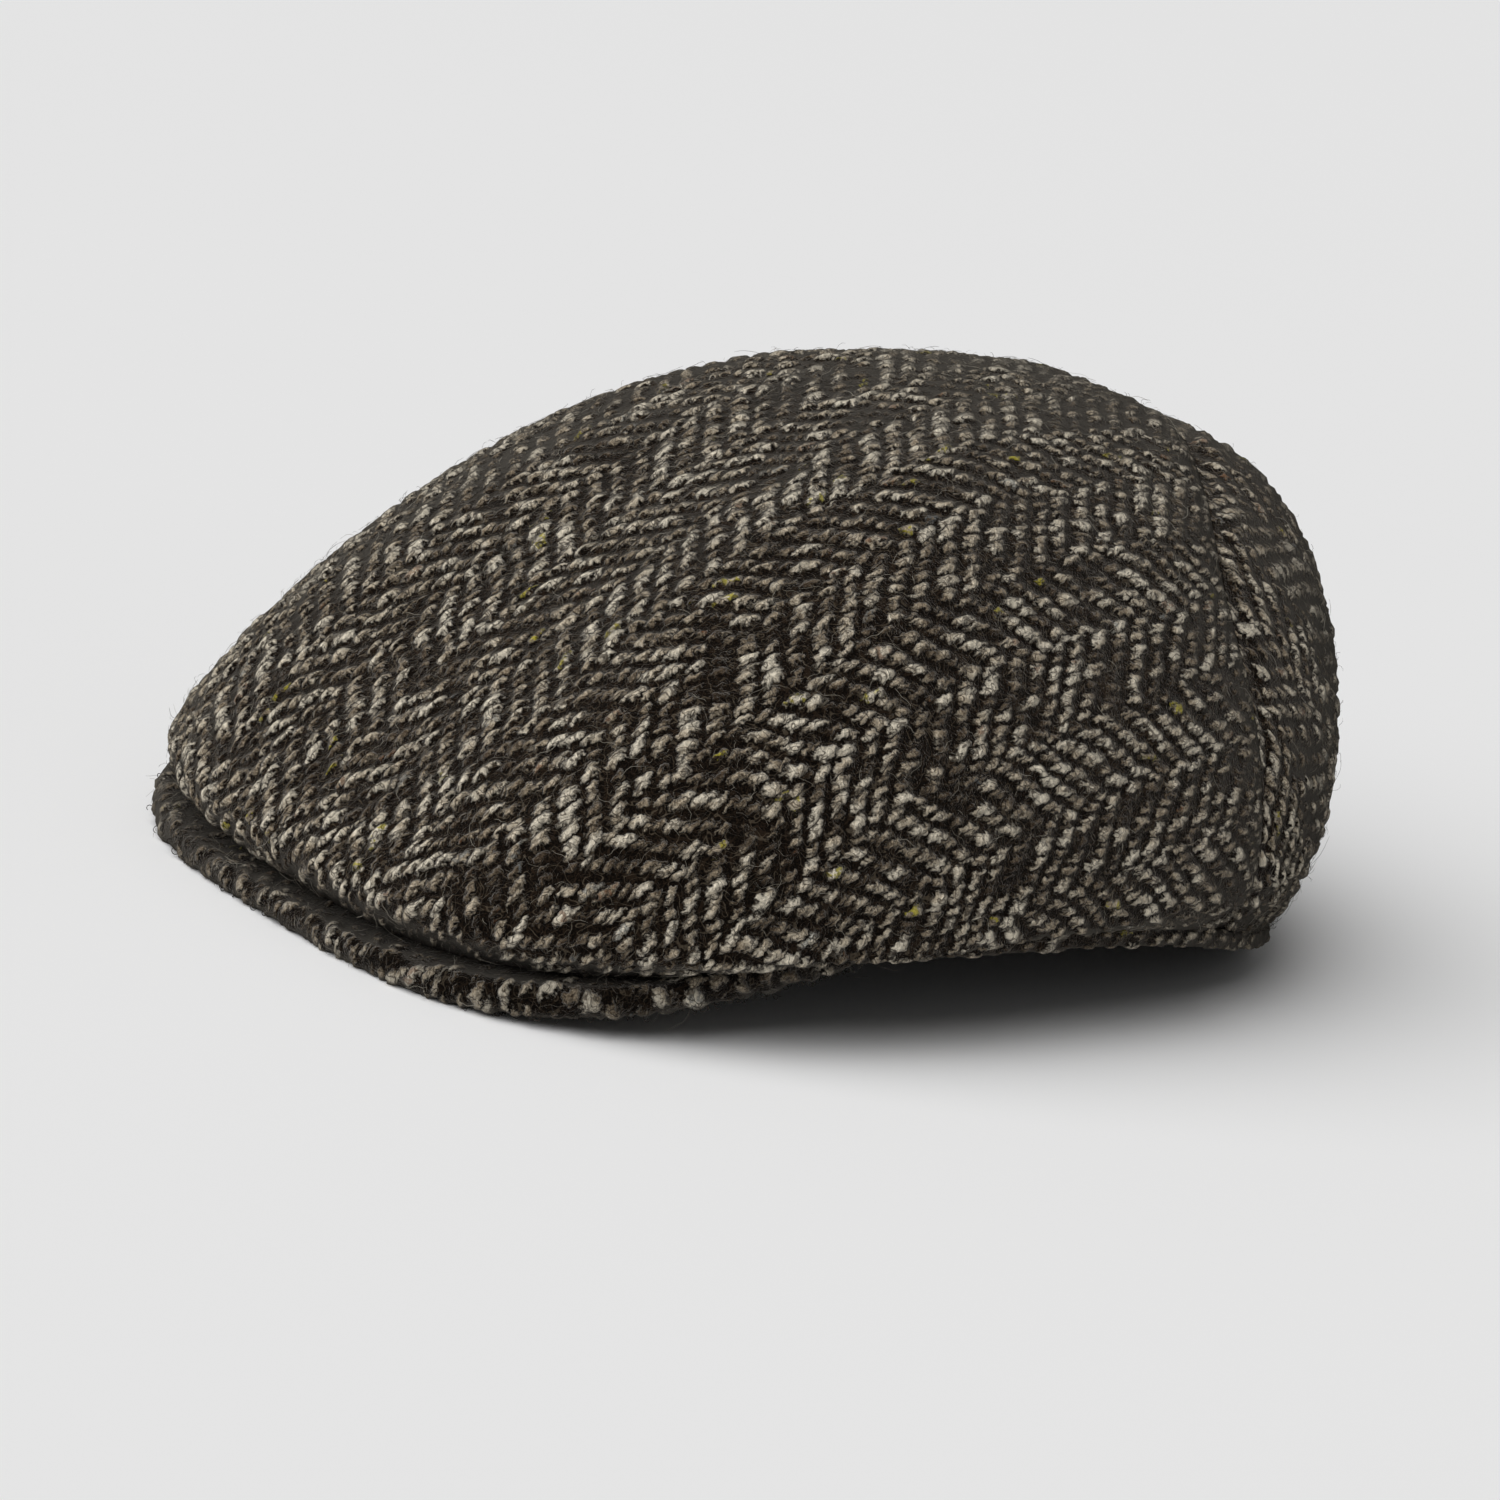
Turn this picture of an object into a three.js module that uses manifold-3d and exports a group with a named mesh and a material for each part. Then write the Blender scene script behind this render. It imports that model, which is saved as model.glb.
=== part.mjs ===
// A flat cap in herringbone tweed: a crown whose front, top and sides are one piece of cloth, a back
// panel, a narrow turned hem, and a stiff curved peak that the crown's nose is sewn down on.
// Millimetres. The front is towards -Y, up is +Z and the wearer's left is +X. The origin is on the
// ground, under the middle of the cap's length and width.
import * as THREE from "three";
import { mergeVertices } from "three/addons/utils/BufferGeometryUtils.js";
import Module from "manifold-3d";

// Overall sizes
const capLength = 270;
const capWidth = 194;
const capHeight = 120;

// Plan of the crown: where it is widest and highest, behind the middle of the length, and how square
// its front and back halves are (2 is an ellipse)
const widestBehind = 11;
const topBehind = 38;
const squareFront = 2.8;
const squareBack = 2.2;

// How far from the highest point the crown's top stays softly round, a share of its radius
const topSoftness = 0.3;

// Cloth of the crown, and how far it turns in below its widest line
const crownWall = 2.4;
const tuckIn = 8;

// Peak: its depth at the middle, its thickness, the strip of it that shows ahead of the seam, its
// rise towards the forehead, the droop of its two sides, and the direction of its two corners
const peakDepth = 50;
const peakThickness = 5.4;
const stripWidth = 8.6;
const peakRise = 12;
const peakDroop = 7.5;
const peakCorner = 74;
const edgeRound = 1.4;

// Hem round the sides and the back
const hemHeight = 4;
const hemThickness = 3.4;
const hemRound = 0.9;

// Depth of the strip at the front that lies flat on the ground, and how far in its row of facets ends
const restingStrip = 6;
const restingRow = 3.6;

// Back panel: the seam's place behind the middle at the sides, how much further back it crosses the
// top, and half the width of that crossing
const backSeamBehind = 62;
const backSeamBow = 22;
const backSeamHalf = 68;

// Depth of the deepest dent, and the gap that sewn pieces keep
const dentDepth = 2.5;
const seamGap = 0.3;

// Facets: round the peak, round the hem, below and above the widest line, across the peak
const frontSteps = 32;
const backSteps = 44;
const lowerSteps = 6;
const upperSteps = 14;
const peakSteps = 6;

// The crown's section in seven directions, the same on both sides. place is 0 at the nose, 1 at the
// peak's corner and 2 at the back.
//   bulge  height of the widest line, a share of capHeight
//   tuck   inward turn below that line, a share of tuckIn
//   strip  width of the peak that shows, a share of stripWidth
//   lift   height of the hem's underside, a share of its height at the peak's corner
//   curl   exponent of the inward turn: high keeps the cloth upright and turns it in at the bottom
//   reach  exponent along the radius: high keeps the top flat for longer
//   crest  exponent of the height: high rounds the section from a wedge to a dome
const sections = [
  { place: 0.00, bulge: 0.138, tuck: 1.05, strip: 1.00, lift: 0.00, curl: 2.6, reach: 1.73, crest: 1.10 },
  { place: 0.47, bulge: 0.160, tuck: 0.90, strip: 0.80, lift: 0.00, curl: 2.5, reach: 1.67, crest: 1.36 },
  { place: 1.00, bulge: 0.178, tuck: 1.00, strip: 0.00, lift: 1.00, curl: 2.0, reach: 2.42, crest: 1.45 },
  { place: 1.15, bulge: 0.222, tuck: 1.05, strip: 0.00, lift: 1.02, curl: 1.8, reach: 2.30, crest: 1.56 },
  { place: 1.58, bulge: 0.292, tuck: 0.85, strip: 0.00, lift: 0.32, curl: 1.8, reach: 2.45, crest: 1.93 },
  { place: 1.76, bulge: 0.378, tuck: 1.10, strip: 0.00, lift: 0.00, curl: 1.8, reach: 2.75, crest: 2.14 },
  { place: 2.00, bulge: 0.438, tuck: 1.20, strip: 0.00, lift: 0.00, curl: 1.8, reach: 2.43, crest: 2.28 },
];

// Soft dents and swellings, the same on both sides. place and row say where (row is 1 on the widest
// line and 2 at the top), placeSpread and rowSpread how far each reaches, depth is a share of
// dentDepth and a swelling's is negative.
const dents = [
  { place: 1.40, row: 1.42, placeSpread: 0.10, rowSpread: 0.17, depth: 1.0 },
  { place: 1.75, row: 1.50, placeSpread: 0.14, rowSpread: 0.16, depth: -0.6 },
  { place: 0.62, row: 1.20, placeSpread: 0.22, rowSpread: 0.14, depth: 0.4 },
];

// Directions round the crown run from 0 at the nose, through a quarter turn at the wearer's left,
// to half a turn at the back.
const corner = THREE.MathUtils.degToRad(peakCorner);

function directionOf(place) {
  return place <= 1 ? place * corner : corner + (place - 1) * (Math.PI - corner);
}

function placeOf(direction) {
  const turn = Math.abs(Math.atan2(Math.sin(direction), Math.cos(direction)));
  return turn <= corner ? turn / corner : 1 + (turn - corner) / (Math.PI - corner);
}

// One column of the sections table at a direction: a curve through the rows that never overshoots.
function section(column, direction) {
  const turn = Math.abs(Math.atan2(Math.sin(direction), Math.cos(direction)));
  const at = sections.map((row) => directionOf(row.place));
  const value = sections.map((row) => row[column]);
  const slope = value.slice(1).map((v, k) => (v - value[k]) / (at[k + 1] - at[k]));
  const tangent = value.map((v, k) => {
    const before = slope[k - 1] ?? 0;
    const after = slope[k] ?? 0;
    return before * after > 0 ? (2 * before * after) / (before + after) : 0;
  });
  const k = Math.max(0, Math.min(at.length - 2, at.findLastIndex((a) => a <= turn)));
  const span = at[k + 1] - at[k];
  const t = (turn - at[k]) / span;
  const rest = 1 - t;
  return (
    value[k] * (1 + 2 * t) * rest * rest +
    value[k + 1] * t * t * (1 + 2 * rest) +
    (tangent[k] * rest - tangent[k + 1] * t) * span * t * rest
  );
}

// Plan of the widest line. The peak's front edge ends the length, so the nose is a little behind it.
const noseBehindEdge = stripWidth * sections[0].strip - tuckIn * sections[0].tuck;

function widestLine(direction) {
  const c = Math.cos(direction);
  const s = Math.sin(direction);
  const square = c > 0 ? squareFront : squareBack;
  const end = c > 0 ? -capLength / 2 + noseBehindEdge : capLength / 2;
  const along = Math.abs(c) ** (2 / square);
  const across = Math.sign(s) * Math.abs(s) ** (2 / square);
  return new THREE.Vector2(across * capWidth / 2, widestBehind + (end - widestBehind) * along);
}

// The same line moved square to itself towards the inside.
function inside(direction, distance) {
  const small = 0.001;
  const before = widestLine(direction - small);
  const after = widestLine(direction + small);
  const inward = new THREE.Vector2(before.y - after.y, after.x - before.x).normalize();
  return widestLine(direction).addScaledVector(inward, distance);
}

// Height of the peak's underside over a place in plan: flat on the ground along its front edge, then
// rising to the forehead and drooping to both sides.
function peakUnderside(place) {
  const behind = place.y + capLength / 2 - restingStrip;
  const rise = peakRise * behind / (peakDepth - restingStrip);
  const droop = peakDroop * (Math.abs(place.x) / (capWidth / 2)) ** 4;
  return Math.max(0, rise - droop);
}

// The peak thins towards its corners, where it is as thick as the hem is high.
function peakThicknessAt(direction) {
  const share = Math.min(1, placeOf(direction));
  return hemHeight + (peakThickness - hemHeight) * (1 - share * share);
}

const cornerHeight = peakUnderside(inside(corner, tuckIn * section("tuck", corner)));

// Height of what the crown's lower edge is sewn to, at a place in plan and a direction.
function seatHeight(place, direction) {
  if (placeOf(direction) <= 1) {
    return peakUnderside(place) + peakThicknessAt(direction);
  }
  return cornerHeight * section("lift", direction) + hemHeight;
}

// A point of the crown's outer face: row 0 is its lower edge, 1 the widest line and 2 the top.
function crownPoint(direction, row) {
  const bulge = capHeight * section("bulge", direction);
  if (row <= 1) {
    const tuck = tuckIn * section("tuck", direction);
    const foot = seatHeight(inside(direction, tuck), direction) + seamGap;
    const down = 1 - row;
    const place = inside(direction, tuck * down ** section("curl", direction));
    return new THREE.Vector3(place.x, place.y, bulge + (foot - bulge) * down);
  }
  const radius = Math.cos((row - 1) * Math.PI / 2);
  const reach = section("reach", direction);
  const softened = (share) => Math.hypot(share, topSoftness) ** reach - topSoftness ** reach;
  const arch = Math.max(0, 1 - softened(radius) / softened(1)) ** (1 / section("crest", direction));
  const rim = widestLine(direction);
  return new THREE.Vector3(
    radius * rim.x,
    topBehind + radius * (rim.y - topBehind),
    bulge + (capHeight - bulge) * arch,
  );
}

function dentAt(direction, row) {
  const place = placeOf(direction);
  return dents.reduce((sum, dent) => {
    const round = (place - dent.place) / dent.placeSpread;
    const up = (row - dent.row) / dent.rowSpread;
    return sum + dentDepth * dent.depth * Math.exp(-round * round - up * up);
  }, 0);
}

function meshFrom(points, triangles) {
  const geometry = new THREE.BufferGeometry();
  geometry.setAttribute("position", new THREE.Float32BufferAttribute(points.flatMap((p) => p.toArray()), 3));
  geometry.setIndex(triangles);
  return geometry;
}

// A closed body from rings of points, each ring a closed section with as many points below as above.
// The first and the last ring are filled across.
function sweptBody(rings) {
  const size = rings[0].length;
  const last = rings.length - 1;
  const triangles = [];
  for (let i = 0; i < last; i += 1) {
    for (let j = 0; j < size; j += 1) {
      const a = i * size + j;
      const b = i * size + (j + 1) % size;
      triangles.push(a, b, a + size, b, b + size, a + size);
    }
  }
  for (let j = 0; j < size / 2 - 1; j += 1) {
    const [a, b, c, d] = [j, j + 1, size - 2 - j, size - 1 - j];
    const end = last * size;
    triangles.push(a, c, b, a, d, c);
    triangles.push(end + a, end + b, end + c, end + a, end + c, end + d);
  }
  return meshFrom(rings.flat(), triangles);
}

// Directions shared by the crown, the peak and the hem, so that their edges run side by side.
const frontDirections = Array.from({ length: frontSteps + 1 }, (_, i) => corner * (2 * i / frontSteps - 1));
const backDirections = Array.from(
  { length: backSteps + 1 },
  (_, i) => corner + (2 * Math.PI - 2 * corner) * i / backSteps,
);
const roundDirections = [...frontDirections.slice(0, -1), ...backDirections.slice(0, -1)];

// Whole crown: an outer face, an inner face one wall inside it, and the lower edge between them.
function crownShell() {
  const rows = [];
  for (let j = 0; j < lowerSteps; j += 1) {
    rows.push(j / lowerSteps);
  }
  for (let j = 0; j < upperSteps; j += 1) {
    rows.push(1 + j / upperSteps);
  }
  const around = roundDirections.length;
  const smooth = roundDirections.flatMap((direction) => rows.map((row) => crownPoint(direction, row)));
  smooth.push(new THREE.Vector3(0, topBehind, capHeight));
  const top = smooth.length - 1;
  const face = [];
  for (let i = 0; i < around; i += 1) {
    const here = i * rows.length;
    const next = ((i + 1) % around) * rows.length;
    for (let j = 0; j < rows.length - 1; j += 1) {
      face.push(here + j, next + j, next + j + 1, here + j, next + j + 1, here + j + 1);
    }
    face.push(here + rows.length - 1, next + rows.length - 1, top);
  }
  const normals = meshFrom(smooth, face);
  normals.computeVertexNormals();
  const normal = normals.getAttribute("normal");
  const outward = smooth.map((_, k) => new THREE.Vector3().fromBufferAttribute(normal, k));
  const outer = smooth.map((point, k) => {
    const direction = roundDirections[Math.floor(k / rows.length)] ?? 0;
    const row = k === top ? 2 : rows[k % rows.length];
    return point.clone().addScaledVector(outward[k], -dentAt(direction, row));
  });
  const inner = outer.map((point, k) => {
    if (k === top || k % rows.length > 0) {
      return point.clone().addScaledVector(outward[k], -crownWall);
    }
    const direction = roundDirections[k / rows.length];
    const place = inside(direction, tuckIn * section("tuck", direction) + crownWall);
    return new THREE.Vector3(place.x, place.y, seatHeight(place, direction) + seamGap);
  });
  const count = outer.length;
  const triangles = [...face];
  for (let k = 0; k < face.length; k += 3) {
    triangles.push(count + face[k], count + face[k + 2], count + face[k + 1]);
  }
  for (let i = 0; i < around; i += 1) {
    const here = i * rows.length;
    const next = ((i + 1) % around) * rows.length;
    triangles.push(here, count + here, next, next, count + here, count + next);
  }
  return meshFrom([...outer, ...inner], triangles);
}

// The half angle that keeps the seam gap between the peak's corner and the hem's end.
const halfStep = 0.005;
const cornerChord = inside(corner + halfStep, tuckIn).distanceTo(inside(corner - halfStep, tuckIn));
const cornerPace = cornerChord / (2 * halfStep);
const cornerGap = seamGap / 2 / cornerPace;

// Peak: a crescent between its edge and the forehead line, with a rounded edge in front.
function peakBody() {
  const tip = inside(corner, tuckIn * section("tuck", corner) + hemThickness);
  const forehead = -capLength / 2 + peakDepth;
  const rings = frontDirections.map((direction) => {
    const turn = THREE.MathUtils.clamp(direction, cornerGap - corner, corner - cornerGap);
    const tuck = tuckIn * section("tuck", turn);
    const edge = inside(turn, tuck - stripWidth * section("strip", turn));
    const bend = turn / corner * Math.PI / 2;
    const back = new THREE.Vector2(tip.x * Math.sin(bend), tip.y + (forehead - tip.y) * Math.cos(bend));
    const width = edge.distanceTo(back);
    const thickness = peakThicknessAt(turn);
    const at = (share, height) => {
      const place = edge.clone().lerp(back, share);
      return new THREE.Vector3(place.x, place.y, peakUnderside(place) + thickness * height);
    };
    const round = edgeRound / width;
    const lip = edgeRound / thickness;
    const flat = Math.min(restingRow / width, (1 + round) / 2);
    const rows = Array.from({ length: peakSteps }, (_, k) => flat + (1 - flat) * k / (peakSteps - 1));
    const across = [round, ...rows];
    const under = [at(0, lip), ...across.map((share) => at(share, 0))];
    const over = [at(0, 1 - lip), ...across.map((share) => at(share, 1))];
    return [...under, ...over.reverse()];
  });
  return sweptBody(rings);
}

// Hem: a folded band as high as hemHeight, its outer face under the crown's lower edge.
function hemBody() {
  const rings = backDirections.map((direction) => {
    const turn = THREE.MathUtils.clamp(direction, corner + cornerGap, 2 * Math.PI - corner - cornerGap);
    const tuck = tuckIn * section("tuck", turn);
    const foot = cornerHeight * section("lift", turn);
    const at = (depth, height) => {
      const place = inside(turn, tuck + depth);
      return new THREE.Vector3(place.x, place.y, foot + height);
    };
    return [
      at(0, hemRound),
      at(hemRound, 0),
      at(hemThickness - hemRound, 0),
      at(hemThickness, hemRound),
      at(hemThickness, hemHeight),
      at(0, hemHeight),
    ];
  });
  return sweptBody(rings);
}

// A block that takes everything behind the back panel's seam, moved back by a given distance.
function behindSeam(shift) {
  const reach = capLength;
  const outline = new THREE.Shape();
  outline.moveTo(-reach, backSeamBehind + shift);
  const steps = 24;
  for (let i = 0; i <= steps; i += 1) {
    const share = 2 * i / steps - 1;
    const bow = backSeamBow * (1 - share * share) ** 2;
    outline.lineTo(share * backSeamHalf, backSeamBehind + bow + shift);
  }
  outline.lineTo(reach, backSeamBehind + shift);
  outline.lineTo(reach, reach);
  outline.lineTo(-reach, reach);
  outline.closePath();
  const block = new THREE.ExtrudeGeometry(outline, { depth: 2 * capHeight, bevelEnabled: false });
  return block.translate(0, 0, -capHeight / 2);
}

const manifold = await Module();
manifold.setup();

function toSolid(geometry) {
  const bare = geometry.clone();
  bare.deleteAttribute("normal");
  bare.deleteAttribute("uv");
  const merged = mergeVertices(bare, 1e-4);
  return new manifold.Manifold(new manifold.Mesh({
    numProp: 3,
    vertProperties: new Float32Array(merged.getAttribute("position").array),
    triVerts: new Uint32Array(merged.getIndex().array),
  }));
}

function toGeometry(solid) {
  const mesh = solid.getMesh();
  const geometry = new THREE.BufferGeometry();
  geometry.setAttribute("position", new THREE.BufferAttribute(mesh.vertProperties, 3));
  geometry.setIndex(new THREE.BufferAttribute(mesh.triVerts, 1));
  return geometry;
}

const shell = toSolid(crownShell());
const mainGeometry = toGeometry(shell.subtract(toSolid(behindSeam(-seamGap / 2))));
const backGeometry = toGeometry(shell.intersect(toSolid(behindSeam(seamGap / 2))));

// Materials: dark brown and oatmeal wool that reads as a warm grey from a distance
const tweed = new THREE.MeshStandardMaterial({ color: 0x45413b, roughness: 0.95, metalness: 0 });
const tweedBack = new THREE.MeshStandardMaterial({ color: 0x423e38, roughness: 0.95, metalness: 0 });
const tweedHem = new THREE.MeshStandardMaterial({ color: 0x3a3631, roughness: 0.95, metalness: 0 });
const tweedPeak = new THREE.MeshStandardMaterial({ color: 0x403c37, roughness: 0.95, metalness: 0 });

function piece(name, geometry, material) {
  const mesh = new THREE.Mesh(geometry, material);
  mesh.name = name;
  return mesh;
}

const flatCap = new THREE.Group();
flatCap.add(piece("crown_main", mainGeometry, tweed));
flatCap.add(piece("crown_back", backGeometry, tweedBack));
flatCap.add(piece("hem_band", hemBody(), tweedHem));
flatCap.add(piece("peak", peakBody(), tweedPeak));

export default flatCap;
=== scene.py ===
# %% [markdown]
# # A flat cap in herringbone tweed
#
# The real thing is sewn from one kind of cloth: a coarse tweed whose light, thick yarns float over dark
# ones. The front, top and sides of the crown are one piece, a back panel closes it, a narrow hem runs
# round the sides and the back, and the crown's nose is sewn down on a short stiff peak.
#
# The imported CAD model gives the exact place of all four. Each is a plain solid there, and gets a cloth
# surface here that lies where the solid lies and stands for it.

import math

import bpy
import numpy as np
from mathutils import Matrix, Vector


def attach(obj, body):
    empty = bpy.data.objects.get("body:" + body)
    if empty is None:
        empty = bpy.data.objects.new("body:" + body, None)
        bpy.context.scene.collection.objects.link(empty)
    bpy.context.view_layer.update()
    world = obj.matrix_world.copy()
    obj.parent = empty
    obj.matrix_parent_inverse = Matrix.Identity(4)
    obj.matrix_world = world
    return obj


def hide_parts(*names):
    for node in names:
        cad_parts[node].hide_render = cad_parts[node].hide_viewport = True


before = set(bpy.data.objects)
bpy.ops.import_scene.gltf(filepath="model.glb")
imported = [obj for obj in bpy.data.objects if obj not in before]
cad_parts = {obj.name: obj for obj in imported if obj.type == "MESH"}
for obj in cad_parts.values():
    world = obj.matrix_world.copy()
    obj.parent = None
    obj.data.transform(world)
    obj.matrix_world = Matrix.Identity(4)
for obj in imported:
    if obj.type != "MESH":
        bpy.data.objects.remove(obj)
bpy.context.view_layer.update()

# %% [markdown]
# ## The camera
#
# The photograph looks at the cap's left front from a little above, through a long lens, and the cap is
# turned clockwise in the picture, floating. Here it rests on the floor and the camera is rolled instead.

# %% Two helpers for the camera and the light
def toward(azimuth, elevation):
    """The way from the cap to something seen at these angles: 0 is in front, then anticlockwise."""
    flat = math.cos(elevation)
    return Vector((math.sin(azimuth) * flat, -math.cos(azimuth) * flat, math.sin(elevation)))


def add_object(name, data):
    """An object in the scene for a mesh, a camera or a light."""
    made = bpy.data.objects.new(name, data)
    bpy.context.scene.collection.objects.link(made)
    return made


# %% Camera at the photograph's angle
AZIMUTH = math.radians(45.9)
ELEVATION = math.radians(15.2)
ROLL = math.radians(12.2)
DISTANCE = 1.121
LENS = 123.2

look_back = toward(AZIMUTH, ELEVATION)
level_right = Vector((math.cos(AZIMUTH), math.sin(AZIMUTH), 0.0))
level_up = look_back.cross(level_right)
frame_right = level_right * math.cos(ROLL) + level_up * math.sin(ROLL)
frame_up = level_up * math.cos(ROLL) - level_right * math.sin(ROLL)
aim = Vector((0.0, 0.0, 0.060)) - frame_right * 0.0125 - frame_up * 0.0263

camera_data = bpy.data.cameras.new("camera")
camera_data.lens = LENS
camera_data.sensor_width = 36.0
camera = add_object("camera", camera_data)
turned = Matrix((frame_right, frame_up, look_back)).transposed().to_4x4()
camera.matrix_world = Matrix.Translation(aim + look_back * DISTANCE) @ turned
bpy.context.scene.camera = camera
print("camera at", [round(c, 3) for c in camera.matrix_world.translation])

# %% [markdown]
# ## The cap's form
#
# Seen from above a flat cap is a rounded oblong. Cut through in any direction, its section climbs from
# the lower edge, swells at the widest line and closes over the top. So the crown is one function of two
# numbers: a direction round the cap, and a row from the lower edge (0) through the widest line (1) to the
# top (2). The sizes and the table are those of the solid, so the cloth lies exactly on it.

# %% Sizes in millimetres, as in the solid
LENGTH = 270.0
WIDTH = 194.0
HEIGHT = 120.0
WIDEST_BEHIND = 11.0
TOP_BEHIND = 38.0
SQUARE_FRONT = 2.8
SQUARE_BACK = 2.2
TOP_SOFTNESS = 0.3
CROWN_WALL = 2.4
TUCK_IN = 8.0
PEAK_DEPTH = 50.0
PEAK_THICKNESS = 5.4
STRIP_WIDTH = 8.6
PEAK_RISE = 12.0
PEAK_DROOP = 7.5
CORNER = math.radians(74.0)
HEM_HEIGHT = 4.0
HEM_THICKNESS = 3.4
RESTING_STRIP = 6.0
SEAM_BEHIND = 62.0
SEAM_BOW = 22.0
SEAM_HALF = 68.0
DENT_DEPTH = 2.5
SEAM_GAP = 0.3

SECTIONS = {
    "place": np.array([0.00, 0.47, 1.00, 1.15, 1.58, 1.76, 2.00]),
    "bulge": np.array([0.138, 0.160, 0.178, 0.222, 0.292, 0.378, 0.438]),
    "tuck": np.array([1.05, 0.90, 1.00, 1.05, 0.85, 1.10, 1.20]),
    "strip": np.array([1.00, 0.80, 0.00, 0.00, 0.00, 0.00, 0.00]),
    "lift": np.array([0.00, 0.00, 1.00, 1.02, 0.32, 0.00, 0.00]),
    "curl": np.array([2.6, 2.5, 2.0, 1.8, 1.8, 1.8, 1.8]),
    "reach": np.array([1.73, 1.67, 2.42, 2.30, 2.45, 2.75, 2.43]),
    "crest": np.array([1.10, 1.36, 1.45, 1.56, 1.93, 2.14, 2.28]),
}
DENTS = [
    {"place": 1.40, "row": 1.42, "round": 0.10, "up": 0.17, "depth": 1.0},
    {"place": 1.75, "row": 1.50, "round": 0.14, "up": 0.16, "depth": -0.6},
    {"place": 0.62, "row": 1.20, "round": 0.22, "up": 0.14, "depth": 0.4},
]


# %% Directions and the table of sections
def turn_of(direction):
    """The direction folded to 0 at the nose and half a turn at the back, alike on both sides."""
    return np.abs(np.arctan2(np.sin(direction), np.cos(direction)))


def place_of(direction):
    """0 at the nose, 1 at the peak's corner, 2 at the back, in proportion to the turn between."""
    turn = turn_of(direction)
    return np.where(turn <= CORNER, turn / CORNER, 1 + (turn - CORNER) / (np.pi - CORNER))


def section(column, direction):
    """One column of the table at any direction: a cubic between rows, with harmonic-mean tangents."""
    turn = turn_of(direction)
    place = SECTIONS["place"]
    at = np.where(place <= 1, place * CORNER, CORNER + (place - 1) * (np.pi - CORNER))
    value = SECTIONS[column]
    slope = np.diff(value) / np.diff(at)
    same_way = slope[1:] * slope[:-1] > 0
    total = np.where(same_way, slope[1:] + slope[:-1], 1.0)
    tangent = np.zeros_like(value)
    tangent[1:-1] = np.where(same_way, 2 * slope[1:] * slope[:-1] / total, 0.0)
    k = np.clip(np.searchsorted(at, turn, side="right") - 1, 0, len(at) - 2)
    span = at[k + 1] - at[k]
    t = (turn - at[k]) / span
    level = value[k] * (1 + 2 * t) * (1 - t) ** 2 + value[k + 1] * t * t * (3 - 2 * t)
    lean = (tangent[k] * (1 - t) - tangent[k + 1] * t) * span * t * (1 - t)
    return level + lean


# %% The plan, and where the lower edge sits
def widest_line(direction):
    """Plan of the widest line: a superellipse, |x|^n + |y|^n = 1, squarer in front than behind."""
    c = np.cos(direction)
    s = np.sin(direction)
    square = np.where(c > 0, SQUARE_FRONT, SQUARE_BACK)
    nose = STRIP_WIDTH * SECTIONS["strip"][0] - TUCK_IN * SECTIONS["tuck"][0]
    end = np.where(c > 0, nose - LENGTH / 2, LENGTH / 2)
    x = WIDTH / 2 * np.sign(s) * np.abs(s) ** (2 / square)
    return x, WIDEST_BEHIND + (end - WIDEST_BEHIND) * np.abs(c) ** (2 / square)


def inside(direction, distance):
    """The widest line moved square to itself towards the inside."""
    small = 0.001
    x, y = widest_line(direction)
    x_before, y_before = widest_line(direction - small)
    x_after, y_after = widest_line(direction + small)
    length = np.hypot(y_before - y_after, x_after - x_before)
    return x + (y_before - y_after) / length * distance, y + (x_after - x_before) / length * distance


def peak_underside(x, y):
    """Height of the peak's underside: flat at the front edge, rising behind, drooping with |x|^4."""
    rise = PEAK_RISE * (y + LENGTH / 2 - RESTING_STRIP) / (PEAK_DEPTH - RESTING_STRIP)
    return np.maximum(0.0, rise - PEAK_DROOP * (np.abs(x) / (WIDTH / 2)) ** 4)


def peak_thickness(direction):
    """The peak thins towards its corners with the square of the place."""
    share = np.minimum(1.0, place_of(direction))
    return HEM_HEIGHT + (PEAK_THICKNESS - HEM_HEIGHT) * (1 - share * share)


corner_height = peak_underside(*inside(CORNER, TUCK_IN * section("tuck", CORNER)))


def seat_height(direction, x, y):
    """What the crown's lower edge is sewn to: the peak's top in front, the hem's top elsewhere."""
    on_peak = peak_underside(x, y) + peak_thickness(direction)
    on_hem = corner_height * section("lift", direction) + HEM_HEIGHT
    return np.where(place_of(direction) <= 1, on_peak, on_hem)


# %% The crown's outer face
def crown_point(direction, row):
    """Row 0 to 1 turns out from the lower edge as a power curve; row 1 to 2 closes over the top, its
    height one minus a power of the radius, softened so that the top is round and not a point."""
    bulge = HEIGHT * section("bulge", direction)
    tuck = TUCK_IN * section("tuck", direction)
    foot = seat_height(direction, *inside(direction, tuck)) + SEAM_GAP
    down = np.clip(1 - row, 0, 1)
    x_low, y_low = inside(direction, tuck * down ** section("curl", direction))
    z_low = bulge + (foot - bulge) * down
    radius = np.cos(np.clip(row - 1, 0, 1) * np.pi / 2)
    power = section("reach", direction)
    low = TOP_SOFTNESS ** power
    share = (np.hypot(radius, TOP_SOFTNESS) ** power - low) / (np.hypot(1, TOP_SOFTNESS) ** power - low)
    arch = np.clip(1 - share, 0, 1) ** (1 / section("crest", direction))
    rim_x, rim_y = widest_line(direction)
    below = row <= 1
    x = np.where(below, x_low, radius * rim_x)
    y = np.where(below, y_low, TOP_BEHIND + radius * (rim_y - TOP_BEHIND))
    z = np.where(below, z_low, bulge + (HEIGHT - bulge) * arch)
    return np.stack([x, y, z], -1)


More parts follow.
